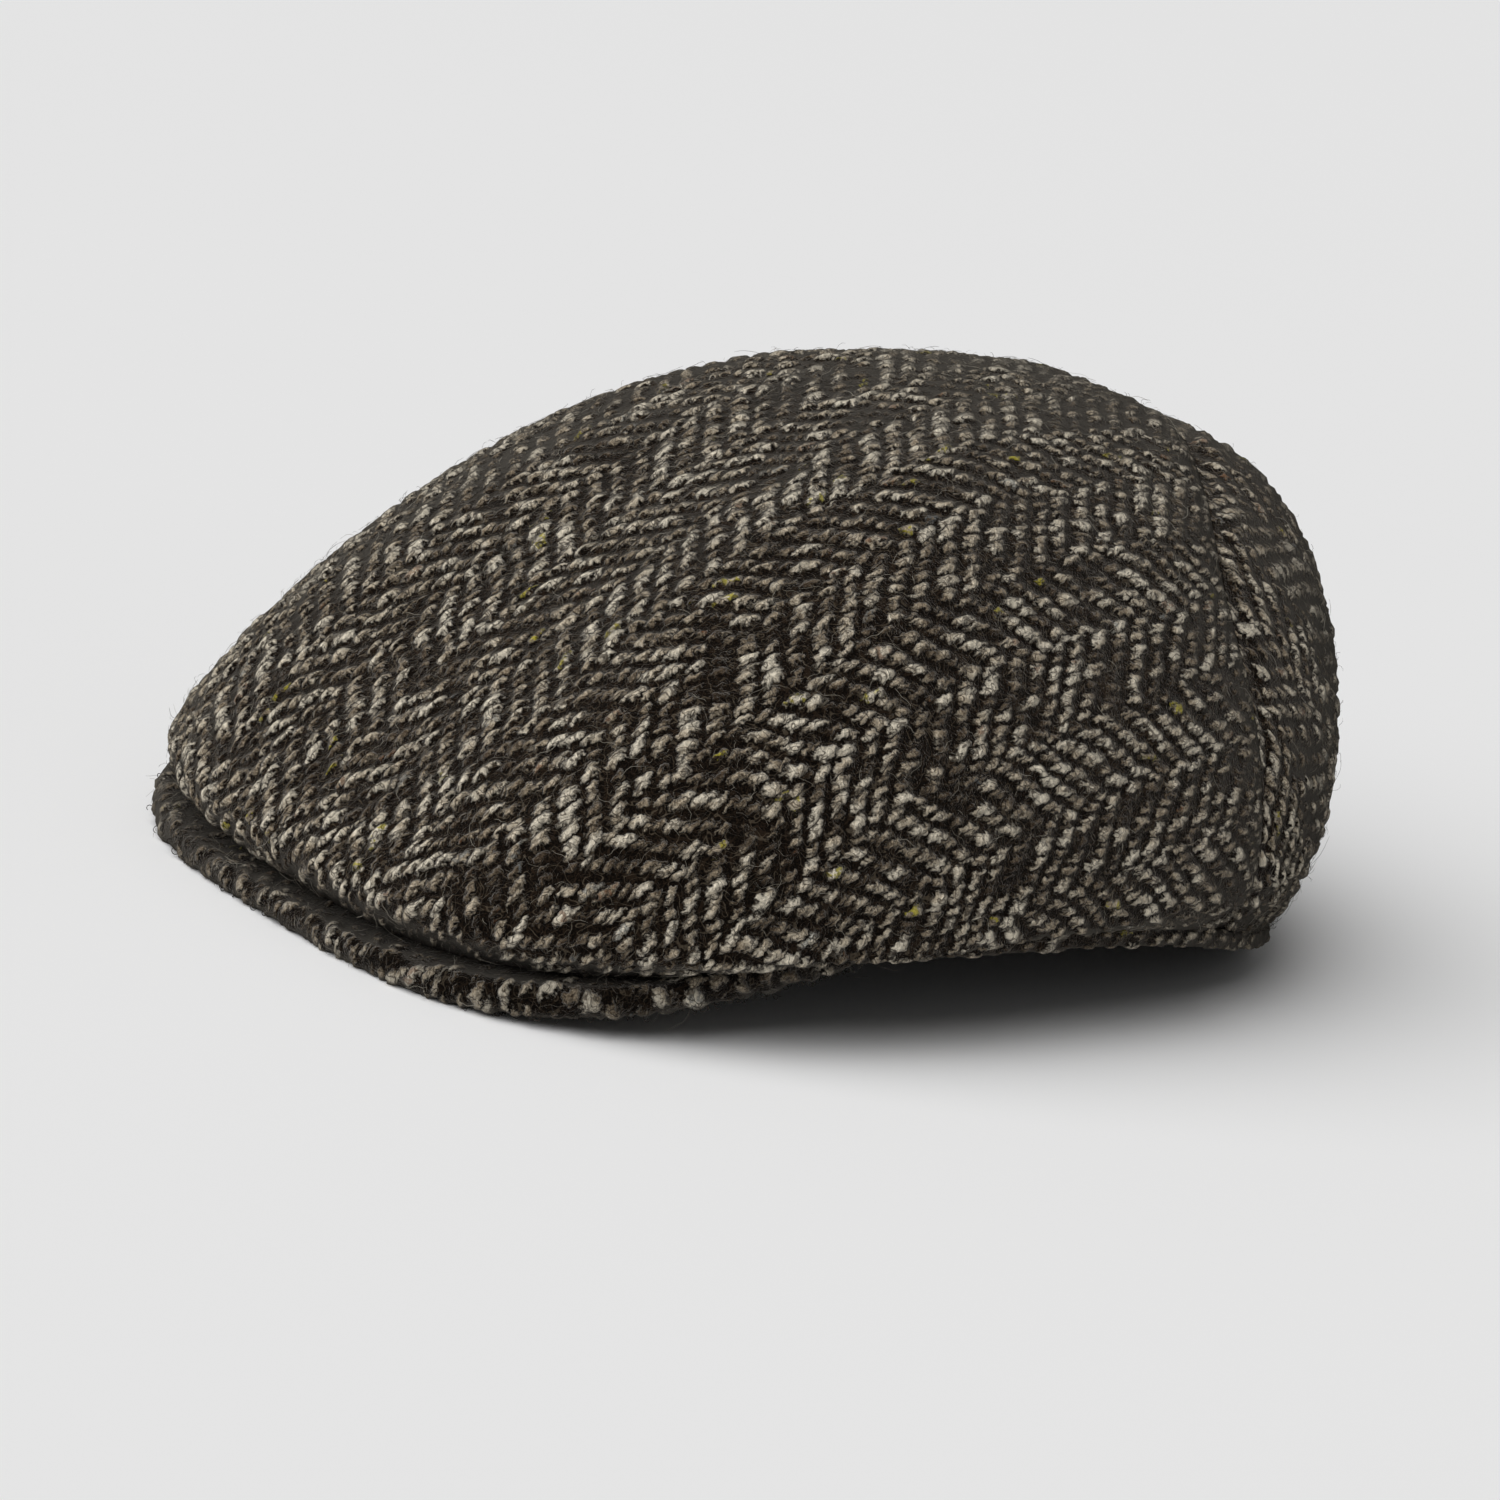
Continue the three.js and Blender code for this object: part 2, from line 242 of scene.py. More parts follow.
def dent_at(direction, row):
    """Depth of the soft dents: a sum of bells in place and row."""
    place = place_of(direction)
    depth = np.zeros(np.shape(place))
    for dent in DENTS:
        away = ((place - dent["place"]) / dent["round"]) ** 2 + ((row - dent["row"]) / dent["up"]) ** 2
        depth = depth + DENT_DEPTH * dent["depth"] * np.exp(-away)
    return depth


top = crown_point(np.array([0.0]), np.array([2.0]))[0]
print("top of the crown, mm:", np.round(top, 1))

# %% [markdown]
# ## A grid without a pole
#
# A grid of directions and rows would crowd at the top of the crown and show there as a star. So the grid
# starts as a square instead, which is pressed into a round disc and laid over the crown with its rim on
# the lower edge. Distances stay even because they are shared out along the real lengths of the cloth.

# %% Directions and rows shared out by length
def run_of(step_x, step_y):
    """Length of the way along a line in the plan, from its steps."""
    return np.concatenate([[0.0], np.cumsum(np.hypot(step_x, step_y))])


def run_along(points, axis):
    """Length of the way along one axis of a grid, from its first point."""
    step = np.linalg.norm(np.diff(points, axis=axis), axis=-1)
    first = np.zeros_like(np.take(step, [0], axis=axis))
    return np.concatenate([first, np.cumsum(step, axis=axis)], axis=axis)


EVEN_TURNS = np.linspace(0, np.pi, 4001)
edge_x, edge_y = widest_line(EVEN_TURNS)
edge_run = run_of(np.diff(edge_x), np.diff(edge_y))
edge_share = edge_run / edge_run[-1]

ANGLES = np.linspace(0, np.pi, 181)
REACHES = np.linspace(0, 1, 161)
angle_turns = np.interp(ANGLES / np.pi, edge_share, EVEN_TURNS)
fine_rows = np.linspace(2, 0, 401)
meridians = crown_point(angle_turns[:, None], fine_rows[None, :])
lengths = run_along(meridians, 1)
row_table = np.array([np.interp(REACHES, run / run[-1], fine_rows) for run in lengths])
print("cloth from the top to the lower edge, mm:", np.round(lengths[[0, 90, 180], -1], 1))


def between(table, i, j, x, y):
    """Value of a table at the shares x and y of the way from (i, j) to the next entries."""
    near = table[i, j] * (1 - y) + table[i, j + 1] * y
    far = table[i + 1, j] * (1 - y) + table[i + 1, j + 1] * y
    return near * (1 - x) + far * x


def lookup(table, a, b):
    """Value of an even table at (a, b), each 0 to 1, by straight lines between its four neighbours."""
    x = np.clip(a, 0, 1) * (table.shape[0] - 1)
    y = np.clip(b, 0, 1) * (table.shape[1] - 1)
    i = np.minimum(x.astype(int), table.shape[0] - 2)
    j = np.minimum(y.astype(int), table.shape[1] - 2)
    return between(table, i, j, x - i, y - j)


def crown_places(p, q):
    """Direction and row of the square's point (p, q), both -1 to 1. The square is pressed into a disc
    by x = p * sqrt(1 - q^2 / 2) and y = q * sqrt(1 - p^2 / 2)."""
    x = p * np.sqrt(1 - q * q / 2)
    y = q * np.sqrt(1 - p * p / 2)
    angle = np.arctan2(x, -y)
    direction = np.sign(angle) * np.interp(np.abs(angle) / np.pi, edge_share, EVEN_TURNS)
    row = lookup(row_table, np.abs(angle) / np.pi, np.hypot(x, y))
    return direction, row


# %% Where the back panel's seam crosses the grid
def seam_line(x):
    """Plan of the seam: straight across at the sides, bowed back over the top by (1 - share^2)^2."""
    share = np.clip(np.abs(x) / SEAM_HALF, 0, 1)
    return SEAM_BEHIND + SEAM_BOW * (1 - share * share) ** 2


def seam_place(p):
    """For each column p of the square, the q at which the crown crosses the seam."""
    q = np.linspace(-0.2, 1, 601)
    crown = crown_point(*crown_places(p[:, None], q[None, :]))
    behind = crown[..., 1] - seam_line(crown[..., 0])
    first = np.argmax(behind > 0, axis=1)
    column = np.arange(len(p))
    after = behind[column, first]
    before = behind[column, first - 1]
    return q[first] - (q[1] - q[0]) * after / (after - before)


# %% [markdown]
# ## Helpers for cloth surfaces
#
# Every piece of the cap is a grid of points in millimetres. These helpers number its faces, find which
# way each point looks, and put points, faces and the weave's own coordinates into a Blender mesh.


# %% Faces, normals and meshes
def grid_faces(rows, columns, start=0, closed=False):
    """Quads of a grid numbered row by row. With closed, the last column joins the first."""
    number = start + np.arange(rows * columns).reshape(rows, columns)
    beside = np.roll(number, -1, axis=1)
    quads = np.stack([number[:-1], beside[:-1], beside[1:], number[1:]], -1)
    if not closed:
        quads = quads[:, :-1]
    return quads.reshape(-1, 4)


def grid_normals(points, closed=False):
    """Unit normals of a grid: the cross product of its steps along columns and along rows."""
    if closed:
        wide = np.concatenate([points[:, -2:], points, points[:, :2]], axis=1)
        across = np.gradient(wide, axis=1)[:, 2:-2]
    else:
        across = np.gradient(points, axis=1)
    normal = np.cross(across, np.gradient(points, axis=0))
    return normal / np.maximum(np.linalg.norm(normal, axis=-1, keepdims=True), 1e-9)


def unit(vectors):
    """Vectors of length 1 along the last axis."""
    return vectors / np.linalg.norm(vectors, axis=-1, keepdims=True)


def fading(distance, reach):
    """1 at no distance, a third at one reach, and nearly nothing at two."""
    return np.exp(-(distance / reach) ** 2)


def make_piece(name, points, faces, attributes, materials, inner_from=None):
    """A mesh object in metres from points in millimetres. Faces from number inner_from on take the
    second material."""
    mesh = bpy.data.meshes.new(name)
    mesh.from_pydata((np.asarray(points) / 1000).tolist(), [], faces)
    for key, values in attributes.items():
        kind, field = ("FLOAT_VECTOR", "vector") if values.ndim == 2 else ("FLOAT", "value")
        layer = mesh.attributes.new(key, kind, "POINT")
        layer.data.foreach_set(field, values.astype(np.float32).ravel())
    for material in materials:
        mesh.materials.append(material)
    mesh.polygons.foreach_set("use_smooth", np.ones(len(faces), dtype=bool))
    if inner_from is not None:
        index = (np.arange(len(faces)) >= inner_from).astype(np.int32)
        mesh.polygons.foreach_set("material_index", index)
    mesh.update()
    print(name, "triangles:", sum(len(face) - 2 for face in faces))
    return add_object(name, mesh)


def sleeve(name, skin, weave, material, inside_out=False):
    """A closed piece from a grid whose rows are rings. Flat caps close the first and the last ring."""
    rings, around = skin.shape[:2]
    first_cap = list(range(around))[::-1]
    last_cap = [(rings - 1) * around + k for k in range(around)]
    faces = grid_faces(rings, around, closed=True).tolist() + [first_cap, last_cap]
    if inside_out:
        faces = [face[::-1] for face in faces]
    return make_piece(name, skin.reshape(-1, 3), faces, {"weave": weave.reshape(-1, 3)}, [material])


# %% [markdown]
# ## The weave's own map
#
# Tweed is woven flat and then shaped over the crown, so its stripes have to follow the cloth. Blender's
# unwrap lays a coarse copy of each panel flat with as little stretch as it can. Scaled back to real
# millimetres, with its middle running from nose to back, that copy is the pattern piece that a cutter
# would chalk, and it tells every point where it lies on the loom.


# %% Lay a panel flat
def total_length(grid):
    """Length of all the lines of a grid together, both ways."""
    return sum(np.linalg.norm(np.diff(grid, axis=axis), axis=-1).sum() for axis in (0, 1))


def lay_flat(points):
    """Chart of a grid in millimetres, u across and v from front to back, alike on both sides."""
    rows, columns = points.shape[:2]
    mesh = bpy.data.meshes.new("pattern")
    mesh.from_pydata(points.reshape(-1, 3).tolist(), [], grid_faces(rows, columns).tolist())
    mesh.uv_layers.new(name="pattern")
    sheet = add_object("pattern", mesh)
    for other in bpy.context.selected_objects:
        other.select_set(False)
    sheet.select_set(True)
    bpy.context.view_layer.objects.active = sheet
    bpy.ops.object.mode_set(mode="EDIT")
    bpy.ops.mesh.select_all(action="SELECT")
    bpy.ops.uv.unwrap(method="MINIMUM_STRETCH", margin=0.0)
    bpy.ops.object.mode_set(mode="OBJECT")
    corners = np.empty(2 * len(mesh.loops))
    mesh.uv_layers["pattern"].data.foreach_get("uv", corners)
    owner = np.empty(len(mesh.loops), dtype=np.int32)
    mesh.loops.foreach_get("vertex_index", owner)
    flat = np.zeros((rows * columns, 2))
    flat[owner] = corners.reshape(-1, 2)
    flat = flat.reshape(rows, columns, 2)
    bpy.data.objects.remove(sheet)
    bpy.data.meshes.remove(mesh)
    middle = columns // 2
    flat = flat - flat[rows // 2, middle]
    ahead = flat[-1, middle] - flat[0, middle]
    ahead = ahead / np.linalg.norm(ahead)
    right = np.array([ahead[1], -ahead[0]])
    chart = np.stack([flat @ right, flat @ ahead], -1)
    if chart[rows // 2, -1, 0] < chart[rows // 2, 0, 0]:
        chart[..., 0] = -chart[..., 0]
    chart = chart * (total_length(points) / total_length(chart))
    mirrored = chart[:, ::-1] * np.array([-1.0, 1.0])
    return (chart + mirrored) / 2


def spread_chart(chart, rows, columns):
    """A coarse chart read at every point of a finer grid."""
    a, b = np.meshgrid(np.linspace(0, 1, rows), np.linspace(0, 1, columns), indexing="ij")
    return np.stack([lookup(chart[..., 0], a, b), lookup(chart[..., 1], a, b)], -1)


# %% [markdown]
# ## The weave
#
# The cloth is a two-and-two twill: every thick light yarn floats over two dark ones and dives under the
# next two. Each neighbour starts one thread later, so that the floats line up in slanting ropes. The
# slant turns round every nine yarns, and that is the herringbone.
#
# The formula is needed twice: as numbers, to raise the floats as real relief, and in the shader, to
# colour them. It is written once, with a small class that lets a shader socket take part in sums.


# %% A shader socket that can be calculated with
class Signal:
    """A socket in a node tree. Sums on it add Math nodes."""

    def __init__(self, finish, socket):
        self.finish = finish
        self.socket = socket

    def maths(self, operation, *others):
        """A Math node fed with this signal and others, which may be signals or numbers."""
        values = {k: value for k, value in enumerate((self, *others))}
        return self.finish.node("ShaderNodeMath", {"operation": operation}, values)

    def __add__(self, other):
        return self.maths("ADD", other)

    def __sub__(self, other):
        return self.maths("SUBTRACT", other)

    def __rsub__(self, other):
        return self.maths("MULTIPLY", -1.0).maths("ADD", other)

    def __mul__(self, other):
        return self.maths("MULTIPLY", other)

    def __truediv__(self, other):
        return self.maths("DIVIDE", other)

    def __pow__(self, other):
        return self.maths("POWER", other)

    __radd__ = __add__
    __rmul__ = __mul__


class Finish:
    """A material under construction. Its node method adds any node: type, settings, sockets."""

    def __init__(self, name):
        self.material = bpy.data.materials.new(name)
        self.material.use_nodes = True
        self.tree = self.material.node_tree
        self.tree.nodes.clear()

    def node(self, kind, settings=None, sockets=None, out=0):
        """Adds a node, sets its settings first and then its sockets' values or links."""
        made = self.tree.nodes.new(kind)
        for key, value in (settings or {}).items():
            if key == "stops":
                ramp = made.color_ramp
                while len(ramp.elements) < len(value):
                    ramp.elements.new(0.5)
                for element, (position, shade) in zip(ramp.elements, value):
                    element.position = position
                    element.color = shade
            else:
                setattr(made, key, value)
        for key, value in (sockets or {}).items():
            if isinstance(value, Signal):
                self.tree.links.new(value.socket, made.inputs[key])
            else:
                made.inputs[key].default_value = value
        return Signal(self, made.outputs[out]) if len(made.outputs) else None

    def mix(self, share, first, second, blend="MIX"):
        """Two colours mixed by a share."""
        settings = {"data_type": "RGBA", "blend_type": blend}
        return self.node("ShaderNodeMix", settings, {0: share, 6: first, 7: second}, out=2)

    def ease(self, signal, low, high):
        """0 below low, 1 above high, and a smooth step between."""
        sockets = {0: signal, 1: low, 2: high}
        return self.node("ShaderNodeMapRange", {"interpolation_type": "SMOOTHSTEP"}, sockets)

    def noise(self, where, scale, detail=2.0, out="Fac"):
        """Perlin noise at a place."""
        sockets = {"Vector": where, "Scale": scale, "Detail": detail}
        return self.node("ShaderNodeTexNoise", None, sockets, out=out)

    def done(self, surface):
        """Joins the surface to the output and returns the material."""
        self.node("ShaderNodeOutputMaterial", None, {"Surface": surface})
        return self.material


def colour(red, green, blue):
    """A screen colour, 0 to 255, as the linear colour that a shader needs."""
    share = np.array([red, green, blue]) / 255
    linear = np.where(share <= 0.04045, share / 12.92, ((share + 0.055) / 1.055) ** 2.4)
    return (*linear.tolist(), 1.0)


# %% The herringbone, for numbers and for shader signals alike
YARN = 1.78
PICK = 1.66
ENDS = 9
HALF_WIDE = 1.12
HALF_LONG = 2.3
BEAD = 2.7


def either(operation, for_numbers):
    """A function that does the same to shader signals and to numbers."""
    def chosen(x, *others):
        return x.maths(operation, *others) if isinstance(x, Signal) else for_numbers(x, *others)
    return chosen


floor = either("FLOOR", np.floor)
sine = either("SINE", np.sin)
size_of = either("ABSOLUTE", np.abs)
larger = either("MAXIMUM", np.maximum)
sign_of = either("SIGN", np.sign)
exceeds = either("GREATER_THAN", np.greater)


def chance_of(a, b):
    """A number from 0 to 1 that looks random but is the same for the same pair of whole numbers."""
    wave = sine(a * 1.731 + b * 3.917 + 0.5) * 91.73
    return wave - floor(wave)


def float_at(end, across, v, slub):
    """One light yarn near a point. Its floats repeat every four picks, shifted one pick from yarn to
    yarn, forwards or backwards by stripe, so they line up in ropes. Each rope is parted into beads of
    two or three floats, because the yarn is thick and thin. Returns how far inside a float the point
    lies, 1 in its middle and 0 at its rim, and the bead's chance number."""
    stripe = floor((end + 0.5) / ENDS)
    odd = stripe - floor(stripe / 2) * 2
    step = end - stripe * ENDS
    zigzag = step + odd * (ENDS + 1 - step * 2)
    along = v / (4 * PICK) - zigzag / 4
    number = floor(along + 0.5)
    on_rope = (end + across) * (YARN / BEAD) + chance_of(number, stripe)
    bead = floor(on_rope)
    chance = chance_of(bead, number)
    parting = size_of((on_rope - bead) * 2 - 1) ** 3.0
    swell = larger(slub * 0.6 + chance * 0.85 + 0.25, 0.1)
    du = size_of(across * (YARN / HALF_WIDE)) ** 2.3
    dv = size_of((along - number) * (4 * PICK / HALF_LONG)) ** 2.6
    return 1 - (du + dv) / swell - parting * (1.7 - chance * 0.9), chance


def twill(u, v, slub):
    """The higher of a point's own yarn and the nearest neighbour: height from 0 to 1, chance number."""
    end = floor(u / YARN)
    across = u / YARN - end - 0.5
    side = sign_of(across)
    own, own_chance = float_at(end, across, v, slub)
    beside, beside_chance = float_at(end + side, across - side, v, slub)
    pick = exceeds(beside, own)
    return larger(own, beside), own_chance + (beside_chance - own_chance) * pick


# %% Relief of the cloth
RELIEF = 1.15
WAVES = 40
SLUB_SPACING = 2.9
SLUB_LATTICE = 256
rng = np.random.default_rng(11)
wave_way = rng.uniform(0, 2 * np.pi, WAVES)
wave_length = rng.uniform(4.5, 40.0, WAVES)
wave_turns = 2 * np.pi / wave_length * np.stack([np.cos(wave_way), np.sin(wave_way)])
wave_start = rng.uniform(0, 2 * np.pi, (2, WAVES))
wave_share = 0.024 * wave_length ** 0.55


def wander(chart):
    """The chart pulled about as hand-made cloth is: a seeded sum of sines from 4 to 40 mm long, the
    long ones stronger."""
    phase = chart @ wave_turns
    shift = [(np.sin(phase + start) * wave_share).sum(-1) for start in wave_start]
    return chart + np.stack(shift, -1)


def slubs(chart):
    """The yarn's thick and thin places, 0 to 1: random values on a lattice of the chart, joined by
    smooth steps, and pulled apart so that most places are clearly thick or thin."""
    values = np.random.default_rng(23).random((SLUB_LATTICE, SLUB_LATTICE))
    at = chart / SLUB_SPACING + SLUB_LATTICE // 2
    whole = np.floor(at).astype(int)
    part = at - whole
    part = part * part * (3 - 2 * part)
    i = whole[..., 0] % (SLUB_LATTICE - 1)
    j = whole[..., 1] % (SLUB_LATTICE - 1)
    level = between(values, i, j, part[..., 0], part[..., 1])
    return np.clip((level - 0.22) / 0.56, 0, 1)


def with_slubs(chart):
    """The weave attribute: the chart's u and v, and the slub as the third number."""
    return np.concatenate([chart, slubs(chart)[..., None]], axis=-1)


def relief(weave):
    """Height of the yarns over the cloth's middle, in millimetres: a float's height is a root of how
    far inside it a point lies, and thick places stand higher than thin ones."""
    height, chance = twill(weave[..., 0], weave[..., 1], weave[..., 2])
    raised = np.clip(height, 0, 1) ** 0.55
    return RELIEF * (raised * (0.5 + 0.45 * chance + 0.3 * weave[..., 2]) - 0.5)


print("one herringbone stripe, mm:", round(YARN * ENDS, 2), "one rope to the next, mm:", round(4 * PICK, 2))

# %% [markdown]
# ## The tweed as a material
#
# Up close the cloth is light yarn, from grey-brown to oatmeal, over yarn that is nearly black, with a few
# flecks of yellow, rust and pale blue spun in. Each float is two or three twisted plies, and fine fibres
# stand out everywhere. The relief gives the large form, and the shader what is finer than the mesh.
#
# Where the cloth turns away to its outline, the short upright fibres of the nap stand one behind the
# other and hide the light yarn. A plain grey wool is mixed in there by the facing of the surface.

# %% Tweed
DEEP = colour(12, 9, 7)
DARK = colour(47, 37, 28)
HAIR = colour(122, 110, 93)
NAP = colour(72, 69, 64)
LIGHT_SHADES = [(50, 40, 31), (95, 81, 66), (164, 148, 125), (221, 206, 181), (251, 240, 218)]
LIGHT_STOPS = [(k / 4, colour(*shade)) for k, shade in enumerate(LIGHT_SHADES)]
YELLOW = colour(192, 180, 66)
RUST = colour(132, 84, 52)
PALE_BLUE = colour(126, 140, 146)
YELLOW_ABOVE = 0.975
RUST_ABOVE = 0.955
BLUE_BELOW = 0.015
FUZZ_PULL = (2.7, 2.7, 0.6)
PLY = 1.25
PLY_WAY = (0.69, 0.72)
NAP_FROM = 0.3
NAP_TO = 0.88
NAP_COVER = 0.88
# Painted shade: the peak's whole colour is multiplied by this, so that it looks as if in the crown's
# shadow.
PEAK_PAINTED_SHADE = 0.68


def hairs(cloth, spot, scale, width):
    """Thin wandering lines: where a smooth noise is close to one half."""
    sockets = {"Vector": spot, "Scale": scale, "Detail": 1.0, "Distortion": 1.2}
    level = cloth.node("ShaderNodeTexNoise", None, sockets)
    return 1 - cloth.ease(size_of(level - 0.5), width * 0.3, width)


def light_yarn(cloth, spot, fibres, slub, chance):
    """Colour of the light yarn: a tone from the bead's chance, the yarn's thickness, broad patches and
    fibres, with yellow, rust or pale blue in a few beads. Noise scales are per metre."""
    patches = cloth.noise(spot, 70.0, 2.0)
    tone = chance * 0.75 + slub * 0.45 + (patches - 0.5) * 0.9 + (fibres - 0.5) * 0.9 + 0.05
    light = cloth.node("ShaderNodeValToRGB", {"stops": LIGHT_STOPS}, {0: tone})
    second = chance * 53.7
    second = second - floor(second)
    spun_in = cloth.ease(cloth.noise(spot, 520.0, 2.0), 0.5, 0.58)
    yellow = exceeds(second, YELLOW_ABOVE)
    light = cloth.mix(yellow * spun_in * 0.9, light, YELLOW)
    light = cloth.mix((exceeds(second, RUST_ABOVE) - yellow) * spun_in * 0.6, light, RUST)
    return cloth.mix((1 - exceeds(second, BLUE_BELOW)) * spun_in * 0.5, light, PALE_BLUE)


def under_nap(cloth, yarn):
    """The yarn's surface with the grey nap over it where the cloth turns away."""
    nap_sockets = {"Base Color": NAP, "Roughness": 1.0, "Specular IOR Level": 0.0}
    nap = cloth.node("ShaderNodeBsdfPrincipled", None, nap_sockets)
    facing = cloth.node("ShaderNodeLayerWeight", None, {"Blend": 0.5}, out="Facing")
    covered = cloth.ease(facing, NAP_FROM, NAP_TO) * NAP_COVER
    return cloth.node("ShaderNodeMixShader", None, {0: covered, 1: yarn, 2: nap})


def tweed(name, painted_shade=1.0):
    """Herringbone tweed that follows the attribute weave, in millimetres. A factor below 1 darkens all of
    its colour as painted shade.
    """
    cloth = Finish(name)
    chart = cloth.node("ShaderNodeAttribute", {"attribute_name": "weave"}, out="Vector")
    spot = cloth.node("ShaderNodeTexCoord", out="Object")
    fuzz = cloth.noise(spot, 800.0, 5.0, out="Color")
    centred = cloth.node("ShaderNodeVectorMath", {"operation": "SUBTRACT"}, {0: fuzz, 1: (0.5, 0.5, 0.5)})
    pull = {0: centred, 1: FUZZ_PULL, 2: chart}
    pulled = cloth.node("ShaderNodeVectorMath", {"operation": "MULTIPLY_ADD"}, pull)
    u = cloth.node("ShaderNodeSeparateXYZ", None, {0: pulled}, out=0)
    v = Signal(cloth, u.socket.node.outputs[1])
    slub = Signal(cloth, u.socket.node.outputs[2])
    height, chance = twill(u, v, slub)

    plies = sine((v * PLY_WAY[1] + u * PLY_WAY[0]) * (2 * math.pi / PLY)) * 0.5 + 0.5
    fibres = cloth.noise(spot, 2600.0, 4.0)
    dark_hairs = hairs(cloth, spot, 310.0, 0.04)
    pale_hairs = hairs(cloth, spot, 230.0, 0.02)
    raised = larger(height, 0.0) ** 0.6
    # Painted shade: the light yarn's colour is darkened towards each float's rim, as painted shade in the
    # hollows between floats, and in stripes along the plies.
    rim_shade_and_plies = (0.2 + 0.8 * raised) * (0.7 + 0.3 * plies)
    grey = cloth.node("ShaderNodeCombineXYZ", None, {0: rim_shade_and_plies, 1: rim_shade_and_plies, 2: rim_shade_and_plies})
    light = cloth.mix(1.0, light_yarn(cloth, spot, fibres, slub, chance), grey, "MULTIPLY")
    dark = cloth.mix(cloth.ease(fibres, 0.4, 0.8), DEEP, DARK)
    shade = cloth.mix(cloth.ease(height, -0.1, 0.55), dark, light)
    shade = cloth.mix(dark_hairs * 0.75, shade, DARK)
    shade = cloth.mix(pale_hairs * 0.35, shade, HAIR)
    # Painted shade: a factor below 1 darkens the whole colour.
    if painted_shade < 1:
        shade = cloth.mix(1.0, shade, (painted_shade, painted_shade, painted_shade, 1.0), "MULTIPLY")

    bumps = raised * 0.9 + plies * raised * 0.16 + fibres * 0.5 + dark_hairs * 0.1
    normal = cloth.node("ShaderNodeBump", None, {"Strength": 1.0, "Distance": 0.0012, "Height": bumps})
    yarn = cloth.node("ShaderNodeBsdfPrincipled", None, {
        "Base Color": shade,
        "Roughness": 0.95,
        "Normal": normal,
        "Sheen Weight": 0.3,
        "Sheen Roughness": 0.22,
        "Sheen Tint": (1.0, 0.94, 0.86, 1.0),
        "Specular IOR Level": 0.04,
    })
    return cloth.done(under_nap(cloth, yarn))


crown_tweed = tweed("crown_tweed")
back_tweed = tweed("back_tweed")
hem_tweed = tweed("hem_tweed")
# The peak's tweed is painted darker all over, as painted shade.
peak_tweed = tweed("peak_tweed", PEAK_PAINTED_SHADE)

# %% [markdown]
# ## The inside of the cloth
#
# The photograph doesn't show the inside, so the inner face gets a plain dark wool.


# %% Plain dark wool for the inside
def plain_wool(name):
    """Dark wool: fine noise in its colour and its surface."""
    cloth = Finish(name)
    spot = cloth.node("ShaderNodeTexCoord", out="Object")
    fine = cloth.noise(spot, 1400.0, 3.0)
    broad = cloth.noise(spot, 160.0, 2.0)
    shade = cloth.mix(cloth.ease(fine + broad * 0.4, 0.45, 0.95), colour(24, 21, 18), colour(66, 60, 53))
    normal = cloth.node("ShaderNodeBump", None, {"Strength": 0.7, "Distance": 0.0005, "Height": fine})
    surface = cloth.node("ShaderNodeBsdfPrincipled", None, {
        "Base Color": shade,
        "Roughness": 0.96,
        "Normal": normal,
        "Sheen Weight": 0.15,
        "Specular IOR Level": 0.1,
    })
    return cloth.done(surface)


inside_wool = plain_wool("inside_wool")

# %% [markdown]
# ## The crown's two panels
#
# Each panel is the part of the square grid in front of the seam or behind it. The outer face carries the
# relief. The inner face needs none, so it has a point for every fourth one outside, a cloth's thickness
# further in, and a rim of triangles joins the two. At the seam both panels dip, because the allowances
# inside pull the cloth down there. At the lower rim the cloth rolls inwards and sinks a little, so that no
# light passes between it and the hem, and its yarn is thinner and lower and its colour painted darker
# there, as painted shade. Over the peak it is pulled in to a crease.

# %% Panels
INNER_EVERY = 4
CHART_EVERY = 8
BACK_CHART_START = 60.0
SEAM_DIP = 2.1
SEAM_REACH = 4.2
SEAM_FLATTENS = 0.7
SEAM_FLAT_REACH = 1.2
CREASE_ENDS_AT = 1.2
CREASE_PULL = 4.0
CREASE_REACH = 5.0
RIM_THINNING_AND_SHADE = 1.5
RIM_REACH = 3.2
RIM_ROLL = 1.5
RIM_ROLL_REACH = 1.1
RIM_SINK = 1.3
RIM_SINK_REACH = 3.0


def rim_triangles(fine, coarse):
    """Joins a run of outer points to a run of inner points that has one for every four."""
    f = [fine[k:len(fine) - 4 + k:4] for k in range(4)] + [fine[4::4]]
    a = coarse[:-1]
    b = coarse[1:]
    parts = [(f[1], f[0], a), (f[2], f[1], a), (f[2], a, b), (f[3], f[2], b), (f[4], f[3], b)]
    return np.concatenate([np.stack(part, -1) for part in parts])


def border(numbers):
    """The four sides of a grid of numbers, one after the other round it."""
    return numbers[0], numbers[:, -1], numbers[-1, ::-1], numbers[::-1, 0]


def two_faces(size, small):
    """Faces of an outer grid, a rim and a coarser inner grid, and the number of the first inner one."""
    count = size[0] * size[1]
    numbers = np.arange(count).reshape(size)
    inner_numbers = count + np.arange(small[0] * small[1]).reshape(small)
    sides = zip(border(numbers), border(inner_numbers))
    outer_faces = grid_faces(*size)
    rim = np.concatenate([rim_triangles(fine, coarse) for fine, coarse in sides])
    inner_faces = grid_faces(*small, start=count)[:, ::-1]
    return outer_faces.tolist() + rim.tolist() + inner_faces.tolist(), len(outer_faces) + len(rim)


